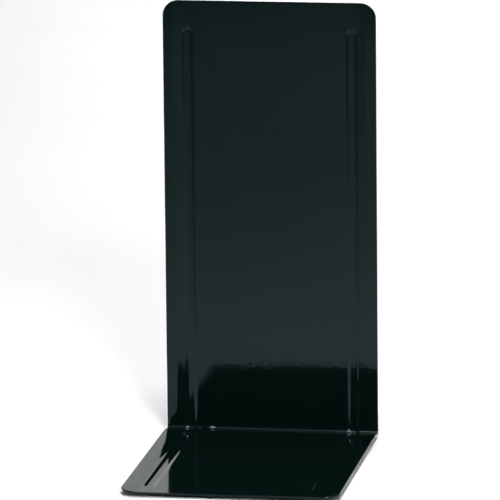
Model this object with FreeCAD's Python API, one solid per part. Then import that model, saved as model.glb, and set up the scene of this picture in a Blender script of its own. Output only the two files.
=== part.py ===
"""Book end: one folded steel sheet with two pressed beads, standing on four stuck-on rubber pads.

Units are millimetres. +Z is up, +Y points from the books towards the upright, X runs across the sheet.
The origin lies on the surface that the book end stands on, under the middle of its outer box.
"""
import FreeCAD, Part
import math
import os

from FreeCAD import Vector

# ---- Driving dimensions -------------------------------------------------------------------------
sheet_width = 117.5
upright_height = 240.0          # underside of the base to the top edge
base_depth = 152.0              # outer face of the upright to the front edge
sheet_thickness = 1.0
bend_radius = 2.0               # inside the fold
corner_radius = 8.5             # the four free corners of the blank

bead_inset = 13.5               # side edge of the sheet to the middle of a bead
bead_width = 7.0                # over both shoulders
bead_floor = 2.8                # flat bottom of the groove
bead_depth = 0.65               # pressed away from the books
bead_top_gap = 14.2             # end of a bead to the top edge
bead_front_gap = 13.0           # end of a bead to the front edge

pad_diameter = 10.0
pad_thickness = 1.5
pad_edge_radius = 0.4
pad_spread = 34.0               # middle of the sheet to the middle of a pad
pad_front_gap = 14.0            # front edge of the sheet to the middle of a front pad
pad_rear_gap = 14.0             # outer face of the upright to the middle of a rear pad
adhesive_diameter = 9.6
adhesive_thickness = 0.15

# ---- Values worked out from them ----------------------------------------------------------------
half_width = sheet_width / 2
stand_height = pad_thickness + adhesive_thickness
base_top_z = stand_height + sheet_thickness
sheet_top_z = stand_height + upright_height

overall_depth = base_depth + bead_depth
front_y = -overall_depth / 2
upright_back_y = front_y + base_depth
upright_front_y = upright_back_y - sheet_thickness

# The fold turns about this line, parallel to X.
fold_axis = Vector(0, upright_front_y - bend_radius, base_top_z + bend_radius)

upright_leg = sheet_top_z - fold_axis.z
base_leg = fold_axis.y - front_y

bead_centre = half_width - bead_inset
bead_half = bead_width / 2
floor_half = bead_floor / 2
wall_width = bead_half - floor_half

# Each side wall of a bead is two equal arcs, tangent to each other and to the flats.
wall_angle = 2 * math.atan(bead_depth / wall_width)
wall_radius = wall_width / (2 * math.sin(wall_angle))


def bead_wall(centre, side, skin):
    """Edges of one side wall in the (x, h) section; h is the depth behind the inner face.

    side is -1 or +1; skin is 0 on the inner face and the sheet thickness on the outer face.
    """
    shoulder_radius = wall_radius - skin
    root_radius = wall_radius + skin
    shoulder_x = centre + side * bead_half
    floor_x = centre + side * floor_half

    def on_shoulder(angle):
        x = shoulder_x - side * shoulder_radius * math.sin(angle)
        return Vector(x, wall_radius - shoulder_radius * math.cos(angle), 0)

    def on_root(angle):
        x = floor_x + side * root_radius * math.sin(angle)
        return Vector(x, bead_depth - wall_radius + root_radius * math.cos(angle), 0)

    shoulder = Part.Arc(on_shoulder(0), on_shoulder(wall_angle / 2), on_shoulder(wall_angle))
    root = Part.Arc(on_shoulder(wall_angle), on_root(wall_angle / 2), on_root(0))
    return [shoulder.toShape(), root.toShape()]


def line(x_from, h_from, x_to, h_to):
    """Straight edge in the (x, h) section."""
    return Part.makeLine(Vector(x_from, h_from, 0), Vector(x_to, h_to, 0))


def section_face(edges):
    """Flat face inside a closed loop of section edges given in any order."""
    return Part.Face(Part.Wire(Part.__sortEdges__(edges)))


def beaded_section():
    """Full-width section of the sheet with both beads."""
    edges = []
    for skin in (0.0, sheet_thickness):
        for centre in (-bead_centre, bead_centre):
            edges += bead_wall(centre, -1, skin) + bead_wall(centre, 1, skin)
            bottom = bead_depth + skin
            edges.append(line(centre - floor_half, bottom, centre + floor_half, bottom))
        edges.append(line(-half_width, skin, -bead_centre - bead_half, skin))
        edges.append(line(-bead_centre + bead_half, skin, bead_centre - bead_half, skin))
        edges.append(line(bead_centre + bead_half, skin, half_width, skin))
    for x in (-half_width, half_width):
        edges.append(line(x, 0, x, sheet_thickness))
    return section_face(edges)


def half_bowl(centre):
    """Rounded end of a bead: half its section turned half a turn about the sheet's normal."""
    edges = bead_wall(centre, 1, 0.0) + bead_wall(centre, 1, sheet_thickness)
    edges.append(line(centre, bead_depth, centre + floor_half, bead_depth))
    outer_h = bead_depth + sheet_thickness
    edges.append(line(centre, outer_h, centre + floor_half, outer_h))
    edges.append(line(centre, bead_depth, centre, outer_h))
    edges.append(line(centre + bead_half, 0, centre + bead_half, sheet_thickness))
    return section_face(edges).revolve(Vector(centre, 0, 0), Vector(0, -1, 0), 180)


def end_zone(length):
    """Flat end of a leg beyond the beads, with rounded free corners and the beads' bowl ends."""
    plate = Part.makeBox(sheet_width, sheet_thickness, length, Vector(-half_width, 0, 0))
    free_corners = []
    for edge in plate.Edges:
        along_normal = abs(edge.tangentAt(edge.FirstParameter).y) > 0.5
        if along_normal and edge.CenterOfMass.z > length / 2:
            free_corners.append(edge)
    plate = plate.makeFillet(corner_radius, free_corners)
    for centre in (-bead_centre, bead_centre):
        disc = Part.makeCylinder(bead_half, sheet_thickness, Vector(centre, 0, 0), Vector(0, 1, 0))
        plate = plate.cut(disc)
    return plate.fuse([half_bowl(-bead_centre), half_bowl(bead_centre)])


def leg(length, end_gap):
    """One flat leg, from the fold upwards, its inner face in the plane y = 0."""
    bead_run = length - end_gap - bead_half
    strip = beaded_section().extrude(Vector(0, 0, bead_run))
    end = end_zone(length - bead_run)
    end.translate(Vector(0, 0, bead_run))
    return strip.fuse(end)


def folded_plate():
    """Upright, fold and base as one sheet, with the beads running through the fold."""
    to_fold = Vector(0, upright_front_y, fold_axis.z)

    upright = leg(upright_leg, bead_top_gap)
    upright.translate(to_fold)

    # Half a turn about the fold's diagonal lays a leg down as the base.
    base = leg(base_leg, bead_front_gap)
    base.translate(to_fold)
    base.rotate(fold_axis, Vector(0, 1, -1), 180)

    fold_face = beaded_section()
    fold_face.translate(to_fold)
    fold = fold_face.revolve(fold_axis, Vector(1, 0, 0), -90)

    return upright.fuse([fold, base]).removeSplitter()


def pad_places():
    """Name and (x, y) of each pad."""
    rows = {"front": front_y + pad_front_gap, "rear": upright_back_y - pad_rear_gap}
    sides = {"left": -pad_spread, "right": pad_spread}
    places = []
    for row, y in rows.items():
        for side, x in sides.items():
            places.append((row + "_" + side, x, y))
    return places


def anti_slip_pad(x, y):
    """Rubber disc with an eased lower rim, standing on z = 0."""
    disc = Part.makeCylinder(pad_diameter / 2, pad_thickness, Vector(x, y, 0))
    rim = [edge for edge in disc.Edges if edge.BoundBox.ZMax < pad_thickness / 2]
    return disc.makeFillet(pad_edge_radius, rim)


def adhesive_disc(x, y):
    """Adhesive layer between a pad and the underside of the sheet."""
    return Part.makeCylinder(adhesive_diameter / 2, adhesive_thickness, Vector(x, y, pad_thickness))


def export(node, shape):
    """Write one node's solid, after checking that it is a single valid one."""
    if len(shape.Solids) != 1 or not shape.isValid():
        raise RuntimeError(node + " is not one valid solid")
    shape.Solids[0].exportStep("parts/" + node + ".step")
    print(node, "volume", round(shape.Volume, 2), "mm3")


os.makedirs("parts", exist_ok=True)
export("folded_plate", folded_plate())
for place, pad_x, pad_y in pad_places():
    export("anti_slip_pad_" + place, anti_slip_pad(pad_x, pad_y))
    export("adhesive_disc_" + place, adhesive_disc(pad_x, pad_y))
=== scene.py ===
"""Looks of the folded steel book end: enamelled sheet with pressed beads, rubber pads, studio light.

Lengths are in metres, in the CAD part's frame: +Z up, +Y from the books towards the upright, and X
across the sheet. In the developed sheet, u runs across from the middle and s runs along the inner
face, from the base's front edge over the fold to the upright's top edge.
"""
import math

import bpy
import numpy as np
from mathutils import Matrix, Vector


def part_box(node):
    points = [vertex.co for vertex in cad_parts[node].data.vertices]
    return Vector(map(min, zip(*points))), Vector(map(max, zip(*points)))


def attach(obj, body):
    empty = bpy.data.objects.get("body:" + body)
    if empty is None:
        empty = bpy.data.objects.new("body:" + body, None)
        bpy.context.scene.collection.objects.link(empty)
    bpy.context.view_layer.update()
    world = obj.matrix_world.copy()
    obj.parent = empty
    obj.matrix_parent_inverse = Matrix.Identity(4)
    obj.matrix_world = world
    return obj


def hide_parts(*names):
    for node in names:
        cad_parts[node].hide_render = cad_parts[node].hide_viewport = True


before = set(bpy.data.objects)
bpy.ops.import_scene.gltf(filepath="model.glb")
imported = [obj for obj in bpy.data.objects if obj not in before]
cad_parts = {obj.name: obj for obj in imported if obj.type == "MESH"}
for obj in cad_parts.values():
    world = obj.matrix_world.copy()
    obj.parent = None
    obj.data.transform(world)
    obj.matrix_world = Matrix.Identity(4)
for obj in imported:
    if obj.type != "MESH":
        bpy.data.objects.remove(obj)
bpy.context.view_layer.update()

MM = 0.001

# ---- Sheet dimensions, as in the CAD part -------------------------------------------------------
THICKNESS = 1.0 * MM
BEND_RADIUS = 2.0 * MM
CORNER_RADIUS = 8.5 * MM
BEAD_INSET = 13.5 * MM
BEAD_WIDTH = 7.0 * MM
BEAD_FLOOR = 2.8 * MM
BEAD_DEPTH = 0.65 * MM
BEAD_TOP_GAP = 14.2 * MM
BEAD_FRONT_GAP = 13.0 * MM

low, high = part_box("folded_plate")
HALF_WIDTH = high.x
FRONT_Y = low.y
UPRIGHT_FRONT_Y = high.y - BEAD_DEPTH - THICKNESS
BASE_TOP_Z = low.z + BEAD_DEPTH + THICKNESS
TOP_Z = high.z
FOLD_Y = UPRIGHT_FRONT_Y - BEND_RADIUS
FOLD_Z = BASE_TOP_Z + BEND_RADIUS

# Developed length of the inner face, measured from the front edge of the base.
BASE_RUN = FOLD_Y - FRONT_Y
FOLD_RUN = BEND_RADIUS * math.pi / 2
SHEET_RUN = BASE_RUN + FOLD_RUN + TOP_Z - FOLD_Z

BEAD_HALF = BEAD_WIDTH / 2
FLOOR_HALF = BEAD_FLOOR / 2
BEAD_CENTRE = HALF_WIDTH - BEAD_INSET
BEAD_START = BEAD_FRONT_GAP + BEAD_HALF
BEAD_END = SHEET_RUN - BEAD_TOP_GAP - BEAD_HALF

# ---- What pressing, folding and enamelling leave on the real sheet ------------------------------
EDGE_RADIUS = 0.32 * MM         # rounding of the enamelled cut edge

# The margins outside the beads lean towards the books; each pair is (on the base, on the upright).
LEAN_BY_BEAD = (math.radians(7.0), math.radians(4.5))
LEAN_AT_EDGE = (math.radians(4.5), math.radians(0.0))
LEAN_STRIP = 4.0 * MM           # width of the steeper strip next to a bead
LEAN_BLEND = 0.8 * MM
LEAN_FOLD_FADE = 9.0 * MM       # from the middle of the fold, where the lean is whole again

BOW_HEIGHT = 0.26 * MM          # the upright comes forward by this much
BOW_START = 12.0 * MM           # above the fold
BOW_END = 70.0 * MM

BEAD_DRIFT = 0.4 * MM           # the beads lie this much nearer the middle on the base
DRIFT_REACH = 20.0 * MM         # the drift comes in over this length on either side of the fold's start
FOLD_BEAD_SHARE = 0.35          # share of a bead's depth that is left where the fold flattens it
FOLD_STEP_UPRIGHT = 3.2 * MM    # above the fold, where the bead is whole again
FOLD_STEP_BASE = 10.0 * MM      # in front of the fold, where the bead is still whole
STEP_RUN_UPRIGHT = 1.8 * MM
STEP_RUN_BASE = 0.45 * MM
STEP_SKEW_LEFT = 0.65           # how far the step in front of the fold runs askew: ds for each du
STEP_SKEW_RIGHT = 1.9

DROP_INSET = 23.4 * MM          # from the left side edge to the gathered drop of enamel
DROP_HEIGHT = 0.42 * MM
DROP_WIDTH = 2.3 * MM
DROP_LENGTH = 1.3 * MM

# ---- Mesh density -------------------------------------------------------------------------------
FINE_ROWS = 16.0 * MM           # the base's rows are fine over this length in front of the fold
FOLD_ROWS = 5.0 * MM            # and the upright's over this length above it
NORMAL_STEP = 0.02 * MM
RIM_ANGLES = (22.5, 45.0, 67.5, 90.0)
FLOOR_RADIUS = 6.0
FLOOR_RINGS = 14
FLOOR_SEGMENTS = 96


def smooth(value, start, end):
    """0 before start, 1 after end, with a smooth S between them; start may be after end."""
    t = np.clip((value - start) / (end - start), 0.0, 1.0)
    return t * t * (3.0 - 2.0 * t)


def bead_section(distance):
    """Share of a bead's depth at a distance from its middle line: two arcs between flat and floor."""
    wall = BEAD_HALF - FLOOR_HALF
    angle = 2 * math.atan(BEAD_DEPTH / wall)
    radius = wall / (2 * math.sin(angle))
    reach = radius * math.sin(angle)
    from_floor = np.clip(distance - FLOOR_HALF, 0.0, reach)
    from_flat = np.clip(BEAD_HALF - distance, 0.0, reach)
    root = BEAD_DEPTH - (radius - np.sqrt(radius**2 - from_floor**2))
    shoulder = radius - np.sqrt(radius**2 - from_flat**2)
    depth = np.where(distance < FLOOR_HALF + reach, root, shoulder)
    return np.clip(depth, 0.0, BEAD_DEPTH) / BEAD_DEPTH


def bead_depth(u, s, side, skew):
    """Depth of one bead, with its bowl ends and the stretch that the fold has flattened."""
    drift = BEAD_DRIFT * smooth(s, BASE_RUN + DRIFT_REACH, BASE_RUN - DRIFT_REACH)
    centre = side * (BEAD_CENTRE - drift)
    past_end = np.maximum(np.maximum(BEAD_START - s, s - BEAD_END), 0.0)
    section = bead_section(np.hypot(u - centre, past_end))
    step = BASE_RUN - FOLD_STEP_BASE - skew * (u - centre)
    on_base = smooth(s, step, step + STEP_RUN_BASE)
    whole_again = BASE_RUN + FOLD_RUN + FOLD_STEP_UPRIGHT
    on_upright = smooth(s, whole_again, whole_again - STEP_RUN_UPRIGHT)
    flattened = on_base * on_upright
    return BEAD_DEPTH * section * (1.0 - (1.0 - FOLD_BEAD_SHARE) * flattened)


def soft_ramp(distance):
    """Distance past zero, with a rounded start."""
    past = np.maximum(distance, 0.0)
    return np.where(past > LEAN_BLEND, past - LEAN_BLEND / 2, past**2 / (2 * LEAN_BLEND))


def margin_lean(u, s):
    """Rise of the strips outside the beads; it fades towards the top edge and at the fold."""
    past_bead = np.abs(u) - BEAD_CENTRE - BEAD_HALF
    in_strip = soft_ramp(past_bead) - soft_ramp(past_bead - LEAN_STRIP)
    at_edge = soft_ramp(past_bead - LEAN_STRIP)
    upright = smooth(s, BASE_RUN, BASE_RUN + FOLD_RUN)
    near, far = np.tan(LEAN_BY_BEAD), np.tan(LEAN_AT_EDGE)
    rise = in_strip * (near[0] + (near[1] - near[0]) * upright)
    rise += at_edge * (far[0] + (far[1] - far[0]) * upright)
    ends = smooth(s, SHEET_RUN + 2 * BEAD_TOP_GAP, BEAD_END)
    fold = smooth(np.abs(s - BASE_RUN - FOLD_RUN / 2), FOLD_RUN / 2, LEAN_FOLD_FADE)
    return rise * ends * fold


def forward_bow(s):
    """The upright bends slightly forward above the fold."""
    return BOW_HEIGHT * smooth(s - BASE_RUN - FOLD_RUN, BOW_START, BOW_END)


def waviness(u, s):
    """The slow unevenness of pressed thin sheet: three waves, each a few hundredths of a mm high."""
    wave = 0.020 * np.sin(u / (9.0 * MM) + 0.7) * np.sin(s / (17.0 * MM) + 0.4)
    wave += 0.030 * np.sin(u / (23.0 * MM) - s / (31.0 * MM) + 1.9)
    wave += 0.014 * np.sin(s / (11.0 * MM) + 1.3 * np.sin(u / (14.0 * MM)))
    return wave * MM


def enamel_drop(u, s):
    """A small sag of enamel that has gathered in the fold."""
    across = (u + HALF_WIDTH - DROP_INSET) / DROP_WIDTH
    along = (s - BASE_RUN - FOLD_RUN / 2) / DROP_LENGTH
    return DROP_HEIGHT * np.exp(-(across**2) - along**2)


def relief(u, s):
    """Height of the inner face over the plain folded sheet, positive towards the books."""
    height = margin_lean(u, s) + forward_bow(s) + waviness(u, s) + enamel_drop(u, s)
    height -= bead_depth(u, s, -1, STEP_SKEW_LEFT)
    height -= bead_depth(u, s, 1, STEP_SKEW_RIGHT)
    return height


def folded(u, s, height):
    """Places developed points (u, s) on the folded inner face and lifts them by height."""
    turn = np.clip((s - BASE_RUN) / BEND_RADIUS, 0.0, math.pi / 2)
    radius = BEND_RADIUS - height
    y = FOLD_Y + radius * np.sin(turn) - np.maximum(BASE_RUN - s, 0.0)
    z = FOLD_Z - radius * np.cos(turn) + np.maximum(s - BASE_RUN - FOLD_RUN, 0.0)
    return np.stack([u, y, z], axis=-1)


def spread(*stretches):
    """Sorted positions from (start, end, steps) stretches that follow on from each other."""
    positions = [np.linspace(a, b, steps, endpoint=False) for a, b, steps in stretches]
    return np.concatenate(positions + [[stretches[-1][1]]])


def column_positions(inset):
    """Columns across the sheet, mirrored about the middle and finest over the beads."""
    corner = HALF_WIDTH - CORNER_RADIUS
    inner = BEAD_CENTRE - BEAD_HALF - BEAD_DRIFT
    outer = BEAD_CENTRE + BEAD_HALF
    right = spread(
        (0.0, 19 * MM, 8),
        (19 * MM, 28 * MM, 22),
        (28 * MM, 39 * MM, 9),
        (39 * MM, inner, 2),
        (inner, outer, 28),
        (outer, corner, 2),
        (corner, HALF_WIDTH - inset, 18),
    )
    return np.concatenate([-right[:0:-1], right])


def row_positions(inset):
    """Rows from the front edge of the base to the top edge of the upright."""
    fold_end = BASE_RUN + FOLD_RUN
    return spread(
        (inset, CORNER_RADIUS, 12),
        (CORNER_RADIUS, BEAD_FRONT_GAP, 3),
        (BEAD_FRONT_GAP, BEAD_START, 11),
        (BEAD_START, BASE_RUN - FINE_ROWS, 30),
        (BASE_RUN - FINE_ROWS, BASE_RUN, 86),
        (BASE_RUN, fold_end, 14),
        (fold_end, fold_end + FOLD_ROWS, 16),
        (fold_end + FOLD_ROWS, BEAD_END, 56),
        (BEAD_END, BEAD_END + BEAD_HALF, 11),
        (BEAD_END + BEAD_HALF, SHEET_RUN - CORNER_RADIUS, 5),
        (SHEET_RUN - CORNER_RADIUS, SHEET_RUN - inset, 12),
    )


def round_corners(u, s, inset):
    """Pulls the grid's four corner squares onto quarter discs."""
    radius = CORNER_RADIUS - inset
    corner_u = HALF_WIDTH - CORNER_RADIUS
    a = np.clip((np.abs(u) - corner_u) / radius, 0.0, 1.0)
    low_b = np.clip((CORNER_RADIUS - s) / radius, 0.0, 1.0)
    high_b = np.clip((s - SHEET_RUN + CORNER_RADIUS) / radius, 0.0, 1.0)
    b = np.maximum(low_b, high_b)
    disc_a = a * np.sqrt(1.0 - b**2 / 2)
    disc_b = b * np.sqrt(1.0 - a**2 / 2)
    new_u = np.where((a > 0) & (b > 0), np.sign(u) * (corner_u + disc_a * radius), u)
    new_s = np.where((low_b > 0) & (a > 0), CORNER_RADIUS - disc_b * radius, s)
    new_s = np.where((high_b > 0) & (a > 0), SHEET_RUN - CORNER_RADIUS + disc_b * radius, new_s)
    return new_u, new_s


def unit(vectors):
    """The same vectors with length 1."""
    return vectors / np.linalg.norm(vectors, axis=-1, keepdims=True)


def inner_face(u, s):
    """Points of the inner face, its normals towards the books, and its directions along u and s."""
    def surface(at_u, at_s):
        return folded(at_u, at_s, relief(at_u, at_s))

    across = unit(surface(u + NORMAL_STEP, s) - surface(u - NORMAL_STEP, s))
    along = unit(surface(u, s + NORMAL_STEP) - surface(u, s - NORMAL_STEP))
    return surface(u, s), unit(np.cross(across, along)), across, along


def outline_direction(u, s):
    """Direction in the developed sheet, (du, ds), that points out of the outline at its points."""
    centre_u = np.clip(u, CORNER_RADIUS - HALF_WIDTH, HALF_WIDTH - CORNER_RADIUS)
    centre_s = np.clip(s, CORNER_RADIUS, SHEET_RUN - CORNER_RADIUS)
    return unit(np.stack([u - centre_u, s - centre_s], axis=-1))


def mesh_object(name, points, faces, material):
    """Smooth-shaded mesh object that rides on the one body."""
    mesh = bpy.data.meshes.new(name)
    mesh.from_pydata(points, [], faces)
    mesh.validate()
    mesh.materials.append(material)
    mesh.polygons.foreach_set("use_smooth", [True] * len(mesh.polygons))
    mesh.update()
    piece = bpy.data.objects.new(name, mesh)
    bpy.context.scene.collection.objects.link(piece)
    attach(piece, "root")
    return piece


def sheet_faces(n_rows, n_columns):
    """Faces of the two sides, inner points first and outer points after them, with one winding."""
    size = n_rows * n_columns
    faces = []
    for row in range(n_rows - 1):
        for column in range(n_columns - 1):
            a = row * n_columns + column
            b = a + 1
            c = b + n_columns
            d = a + n_columns
            faces.append((a, b, c, d))
            faces.append((size + d, size + c, size + b, size + a))
    return faces


def rim_indices(n_rows, n_columns):
    """Numbers of the inner points around the outline, in order."""
    last_row = (n_rows - 1) * n_columns
    rim = list(range(n_columns))
    rim += [row * n_columns + n_columns - 1 for row in range(1, n_rows)]
    rim += [last_row + column for column in range(n_columns - 2, -1, -1)]
    rim += [row * n_columns for row in range(n_rows - 2, 0, -1)]
    return rim


def rim_section():
    """Rim points as (reach, depth) in edge radii: a quarter turn, the cut's flat, a quarter turn."""
    quarter = [math.radians(angle) for angle in RIM_ANGLES]
    section = [(math.sin(t), 1 - math.cos(t)) for t in quarter]
    whole_depth = THICKNESS / EDGE_RADIUS
    return section + [(reach, whole_depth - depth) for reach, depth in reversed(section)]


def join_rings(rings):
    """Faces between each ring of points and the next."""
    faces = []
    for first, second in zip(rings, rings[1:]):
        for i in range(len(first)):
            j = (i + 1) % len(first)
            faces.append((first[i], second[i], second[j], first[j]))
    return faces


def enamelled_sheet(material):
    """The whole folded sheet: inner face, outer face and a rounded edge all the way round."""
    columns, rows = np.meshgrid(column_positions(EDGE_RADIUS), row_positions(EDGE_RADIUS))
    u, s = round_corners(columns, rows, EDGE_RADIUS)
    point, normal, across, along = inner_face(u, s)
    size = u.size
    inner = point.reshape(-1, 3)
    outer = (point - THICKNESS * normal).reshape(-1, 3)

    rim = rim_indices(*u.shape)
    flat_out = outline_direction(u.reshape(-1)[rim], s.reshape(-1)[rim])
    out = flat_out[:, :1] * across.reshape(-1, 3)[rim] + flat_out[:, 1:] * along.reshape(-1, 3)[rim]
    rim_normal = normal.reshape(-1, 3)[rim]

    blocks = [inner, outer]
    rings = [rim]
    for reach, depth in rim_section():
        start = 2 * size + (len(rings) - 1) * len(rim)
        blocks.append(inner[rim] + EDGE_RADIUS * (reach * out - depth * rim_normal))
        rings.append(list(range(start, start + len(rim))))
    rings.append([size + index for index in rim])

    faces = sheet_faces(*u.shape) + join_rings(rings)
    return mesh_object("enamelled_sheet", np.concatenate(blocks), faces, material)


# ---- Materials ----------------------------------------------------------------------------------
ENAMEL_DARK = (0.0010, 0.0048, 0.0040)
ENAMEL_LIGHT = (0.0014, 0.0058, 0.0050)
ENAMEL_TINT = (0.64, 0.90, 1.0, 1.0)
RUBBER_DARK = (0.020, 0.020, 0.021)
RUBBER_DUST = (0.060, 0.058, 0.055)
ADHESIVE_DARK = (0.50, 0.44, 0.32)
ADHESIVE_BUBBLE = (0.68, 0.64, 0.54)
FLOOR_SHADE = (0.80, 0.80, 0.80)
FLOOR_PALE = (0.83, 0.83, 0.83)
BACKGROUND_TINT = (0.975, 0.99, 1.0, 1.0)


def set_range(node, low_in, high_in, low_out, high_out):
    """Fills in a Map Range node."""
    node.inputs["From Min"].default_value = low_in
    node.inputs["From Max"].default_value = high_in
    node.inputs["To Min"].default_value = low_out
    node.inputs["To Max"].default_value = high_out


class Nodes:
    """Short way to write a material's node tree."""

    def __init__(self, name):
        self.material = bpy.data.materials.new(name)
        self.material.use_nodes = True
        self.tree = self.material.node_tree
        self.shader = self.tree.nodes["Principled BSDF"]
        self.coordinates = self.add("ShaderNodeTexCoord").outputs["Object"]

    def add(self, kind, **values):
        """New node; keyword values go to its inputs, or to its own settings."""
        node = self.tree.nodes.new(kind)
        for key, value in values.items():
            label = key.replace("_", " ").title()
            if label in node.inputs:
                node.inputs[label].default_value = value
            else:
                setattr(node, key, value)
        return node

    def link(self, output, target):
        """Joins an output to an input."""
        self.tree.links.new(output, target)

    def noise(self, per_metre, detail=2.0, roughness=0.5, distortion=0.0):
        """Noise in object coordinates; per_metre is how many cells there are in a metre."""
        node = self.add("ShaderNodeTexNoise", scale=per_metre, detail=detail, distortion=distortion)
        node.inputs["Roughness"].default_value = roughness
        self.link(self.coordinates, node.inputs["Vector"])
        return node.outputs["Fac"]

    def remap(self, value, low_in, high_in, low_out, high_out):
        """A value's range moved to another range, and held inside it."""
        node = self.add("ShaderNodeMapRange")
        set_range(node, low_in, high_in, low_out, high_out)
        self.link(value, node.inputs["Value"])
        return node.outputs["Result"]

    def ramp(self, value, *stops):
        """Colour ramp with (position, colour) stops."""
        node = self.add("ShaderNodeValToRGB")
        elements = node.color_ramp.elements
        while len(elements) < len(stops):
            elements.new(0.5)
        for element, (position, colour) in zip(elements, stops):
            element.position = position
            element.color = (*colour, 1.0)
        self.link(value, node.inputs["Fac"])
        return node.outputs["Color"]

    def bump(self, height, distance, below=None):
        """Bump of a height from 0 to 1, on top of the bump below it."""
        node = self.add("ShaderNodeBump", distance=distance, strength=1.0)
        self.link(height, node.inputs["Height"])
        if below is not None:
            self.link(below, node.inputs["Normal"])
        return node.outputs["Normal"]

    def sum(self, first, second):
        """Two outputs added together."""
        node = self.add("ShaderNodeMath", operation="ADD")
        self.link(first, node.inputs[0])
        self.link(second, node.inputs[1])
        return node.outputs["Value"]


def gloss_enamel():
    """Stoved black enamel: orange peel, faint smears where it has been handled, a few dust nibs."""
    nodes = Nodes("gloss_black_enamel")
    shader = nodes.shader
    shader.inputs["IOR"].default_value = 1.5
    shader.inputs["Specular IOR Level"].default_value = 0.30
    shader.inputs["Specular Tint"].default_value = ENAMEL_TINT

    tone = nodes.noise(60.0, detail=3.0)
    colour = nodes.ramp(tone, (0.30, ENAMEL_DARK), (0.70, ENAMEL_LIGHT))
    nodes.link(colour, shader.inputs["Base Color"])

    smears = nodes.remap(nodes.noise(28.0, detail=4.0, distortion=0.6), 0.35, 0.75, 0.0, 0.030)
    fine = nodes.remap(nodes.noise(2600.0, detail=2.0), 0.3, 0.7, 0.045, 0.065)
    nodes.link(nodes.sum(smears, fine), shader.inputs["Roughness"])

    peel = nodes.bump(nodes.noise(420.0, detail=1.5), 0.018 * MM)
    peel = nodes.bump(nodes.noise(1900.0, detail=3.0), 0.0016 * MM, below=peel)
    nibs = nodes.add("ShaderNodeTexVoronoi", scale=150.0)
    nodes.link(nodes.coordinates, nibs.inputs["Vector"])
    nib_height = nodes.remap(nibs.outputs["Distance"], 0.0, 0.05, 1.0, 0.0)
    nodes.link(nodes.bump(nib_height, 0.004 * MM, below=peel), shader.inputs["Normal"])
    return nodes.material


def pad_rubber():
    """Dark moulded rubber with a fine matt grain and paler dust in it."""
    nodes = Nodes("pad_rubber")
    nodes.shader.inputs["Specular IOR Level"].default_value = 0.35
    colour = nodes.ramp(nodes.noise(900.0, detail=4.0), (0.35, RUBBER_DARK), (0.75, RUBBER_DUST))
    nodes.link(colour, nodes.shader.inputs["Base Color"])
    roughness = nodes.remap(nodes.noise(3000.0), 0.3, 0.7, 0.70, 0.88)
    nodes.link(roughness, nodes.shader.inputs["Roughness"])
    grain = nodes.bump(nodes.noise(4200.0, detail=3.0), 0.05 * MM)
    nodes.link(grain, nodes.shader.inputs["Normal"])
    return nodes.material


def adhesive_layer():
    """Pale amber adhesive with small trapped bubbles."""
    nodes = Nodes("adhesive_layer")
    nodes.shader.inputs["Roughness"].default_value = 0.45
    bubbles = nodes.noise(1800.0, detail=3.0)
    colour = nodes.ramp(bubbles, (0.35, ADHESIVE_DARK), (0.70, ADHESIVE_BUBBLE))
    nodes.link(colour, nodes.shader.inputs["Base Color"])
    nodes.link(nodes.bump(bubbles, 0.03 * MM), nodes.shader.inputs["Normal"])
    return nodes.material


def pale_floor_paint():
    """Plain pale studio floor with barely visible mottling."""
    nodes = Nodes("pale_floor_paint")
    colour = nodes.ramp(nodes.noise(3.0, detail=5.0), (0.3, FLOOR_SHADE), (0.7, FLOOR_PALE))
    nodes.link(colour, nodes.shader.inputs["Base Color"])
    nodes.shader.inputs["Roughness"].default_value = 0.9
    nodes.shader.inputs["Specular IOR Level"].default_value = 0.1
    return nodes.material


# ---- Studio -------------------------------------------------------------------------------------
def floor_disc(radius, rings, segments):
    """Large flat disc at z = 0, with its rings closest in the middle."""
    points = [(0.0, 0.0, 0.0)]
    faces = []
    for ring in range(1, rings + 1):
        reach = radius * (ring / rings) ** 2
        for k in range(segments):
            angle = 2 * math.pi * k / segments
            points.append((reach * math.cos(angle), reach * math.sin(angle), 0.0))
    for k in range(segments):
        n = (k + 1) % segments
        faces.append((0, 1 + k, 1 + n))
        for ring in range(rings - 1):
            a = 1 + ring * segments
            b = a + segments
            faces.append((a + k, b + k, b + n, a + n))
    mesh = bpy.data.meshes.new("studio_floor")
    mesh.from_pydata(points, [], faces)
    mesh.materials.append(pale_floor_paint())
    floor = bpy.data.objects.new("studio_floor", mesh)
    bpy.context.scene.collection.objects.link(floor)


def softbox(name, place, width, length, power, spread=math.pi, aim=None, turn=0.0):
    """Rectangular area light, hidden from the camera, that faces aim or straight down.

    A small spread works like a honeycomb on its front. A light that faces down can be turned about Z.
    """
    light = bpy.data.lights.new(name, "AREA")
    light.shape = "RECTANGLE"
    light.size = width
    light.size_y = length
    light.energy = power
    light.spread = spread
    lamp = bpy.data.objects.new(name, light)
    lamp.location = place
    lamp.rotation_euler = (0.0, 0.0, turn)
    if aim is not None:
        lamp.rotation_euler = (Vector(aim) - Vector(place)).to_track_quat("-Z", "Y").to_euler()
    lamp.visible_camera = False
    bpy.context.scene.collection.objects.link(lamp)


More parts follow.
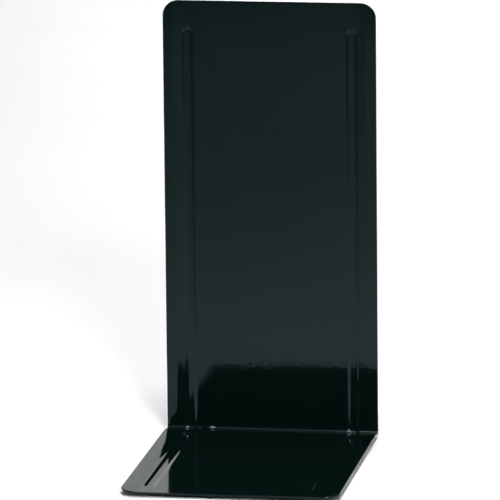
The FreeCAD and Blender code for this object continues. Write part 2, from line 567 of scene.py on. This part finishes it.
def pale_room(wall, ceiling, front):
    """Surroundings by direction: pale walls up to about 20 degrees, a dim ceiling, a dim front side."""
    world = bpy.data.worlds.new("pale_room")
    bpy.context.scene.world = world
    world.use_nodes = True
    tree = world.node_tree
    direction = tree.nodes.new("ShaderNodeTexCoord").outputs["Generated"]
    split = tree.nodes.new("ShaderNodeSeparateXYZ")
    tree.links.new(direction, split.inputs[0])

    def between(value, start, end, first, last):
        """Goes smoothly from first to last while value goes from start to end."""
        node = tree.nodes.new("ShaderNodeMapRange")
        node.interpolation_type = "SMOOTHSTEP"
        set_range(node, start, end, first, last)
        tree.links.new(value, node.inputs["Value"])
        return node.outputs["Result"]

    # Direction's Z is the sine of its height over the horizon; -Y is the side behind the camera.
    by_height = between(split.outputs["Z"], 0.26, 0.42, 1.0, ceiling / wall)
    by_depth = between(split.outputs["Y"], -0.80, -0.45, front / wall, 1.0)
    share = tree.nodes.new("ShaderNodeMath")
    share.operation = "MULTIPLY"
    tree.links.new(by_height, share.inputs[0])
    tree.links.new(by_depth, share.inputs[1])
    strength = tree.nodes.new("ShaderNodeMath")
    strength.operation = "MULTIPLY"
    strength.inputs[1].default_value = wall
    tree.links.new(share.outputs[0], strength.inputs[0])
    background = tree.nodes["Background"]
    background.inputs["Color"].default_value = BACKGROUND_TINT
    tree.links.new(strength.outputs[0], background.inputs["Strength"])


def studio_light():
    """Softboxes above the floor, near and far, one above the fold and small ones in front."""
    pale_room(wall=0.80, ceiling=0.07, front=0.03)
    honeycomb = math.radians(75.0)
    slant = math.radians(8.0)
    softbox("long_light", (-0.04, 0.75, 1.1), 0.35, 3.0, 6.6, spread=honeycomb, turn=slant)
    softbox("back_light", (-0.38, 1.70, 1.6), 1.3, 0.9, 11.0)
    softbox("far_light", (0.0, 4.2, 1.8), 5.0, 2.6, 45.0, spread=math.radians(90.0))
    softbox("fold_light", (-0.27, 0.15, 1.5), 0.22, 0.8, 0.9)
    softbox("pool_light", (0.0, -1.15, 1.0), 0.3, 0.3, 0.50, spread=math.radians(60.0))

    low_on_upright = (0.0, 0.07, 0.08)
    narrow = math.radians(25.0)
    softbox("front_light", (0.60, -1.66, 0.98), 0.3, 0.3, 0.5, spread=narrow, aim=low_on_upright)
    softbox("key_light", (0.15, -0.42, 1.5), 0.18, 0.18, 3.2, aim=(0.0, 0.0, 0.0))


def studio_camera():
    """Long lens from the front, a little from the right side and from above."""
    azimuth = math.radians(9.307)
    elevation = math.radians(11.671)
    roll = math.radians(-0.543)
    distance = 3.361
    aim = Vector((0.00075, -0.0013, 0.1194))
    back = Vector((
        math.sin(azimuth) * math.cos(elevation),
        -math.cos(azimuth) * math.cos(elevation),
        math.sin(elevation),
    ))
    level = Vector((math.cos(azimuth), math.sin(azimuth), 0.0))
    upward = back.cross(level)
    right = level * math.cos(roll) + upward * math.sin(roll)
    top = back.cross(right)
    data = bpy.data.cameras.new("studio_camera")
    data.sensor_width = 36.0
    data.lens = 451.6
    data.clip_end = 100.0
    camera = bpy.data.objects.new("studio_camera", data)
    axes = Matrix((right, top, back)).transposed().to_4x4()
    camera.matrix_world = Matrix.Translation(aim + back * distance) @ axes
    bpy.context.scene.collection.objects.link(camera)
    bpy.context.scene.camera = camera


bpy.context.scene.view_settings.view_transform = "Standard"
floor_disc(FLOOR_RADIUS, FLOOR_RINGS, FLOOR_SEGMENTS)
studio_light()
studio_camera()

sheet = enamelled_sheet(gloss_enamel())
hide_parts("folded_plate")

rubber = pad_rubber()
adhesive = adhesive_layer()
for node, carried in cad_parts.items():
    if node.startswith("anti_slip_pad"):
        carried.data.materials[0] = rubber
    if node.startswith("adhesive_disc"):
        carried.data.materials[0] = adhesive
